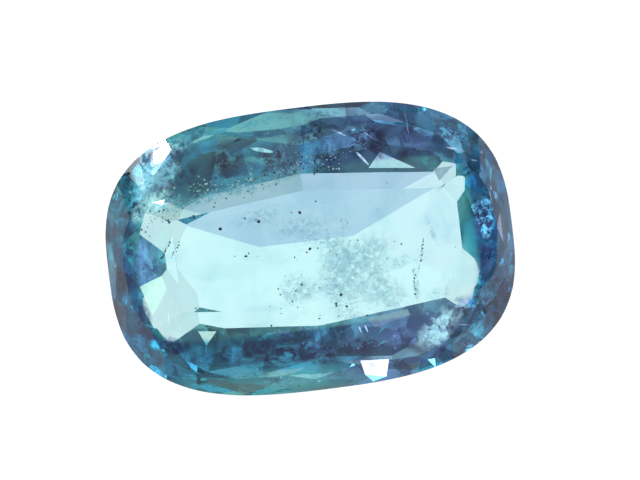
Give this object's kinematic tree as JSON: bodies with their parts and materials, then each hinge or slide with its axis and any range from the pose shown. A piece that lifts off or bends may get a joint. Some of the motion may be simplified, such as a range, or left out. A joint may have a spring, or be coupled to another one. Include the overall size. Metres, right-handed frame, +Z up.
{
  "type": "faceted emerald gemstone",
  "caption": "Clear blue-green emerald cut as a long cushion, with a narrow table, a shallow keeled underside and natural inclusions.",
  "frame": {"origin": "middle of the stone's box, on the surface that it lies on", "axes": "+X along the stone's long axis, +Z up; the table faces up and leans 14 degrees towards -Y"},
  "size_m": [0.0136, 0.0092, 0.0051],
  "materials": {
    "emerald_beryl": "polished, clear"
  },
  "bodies": {
    "root": {"emerald": "emerald_beryl"}
  },
  "joints": []
}
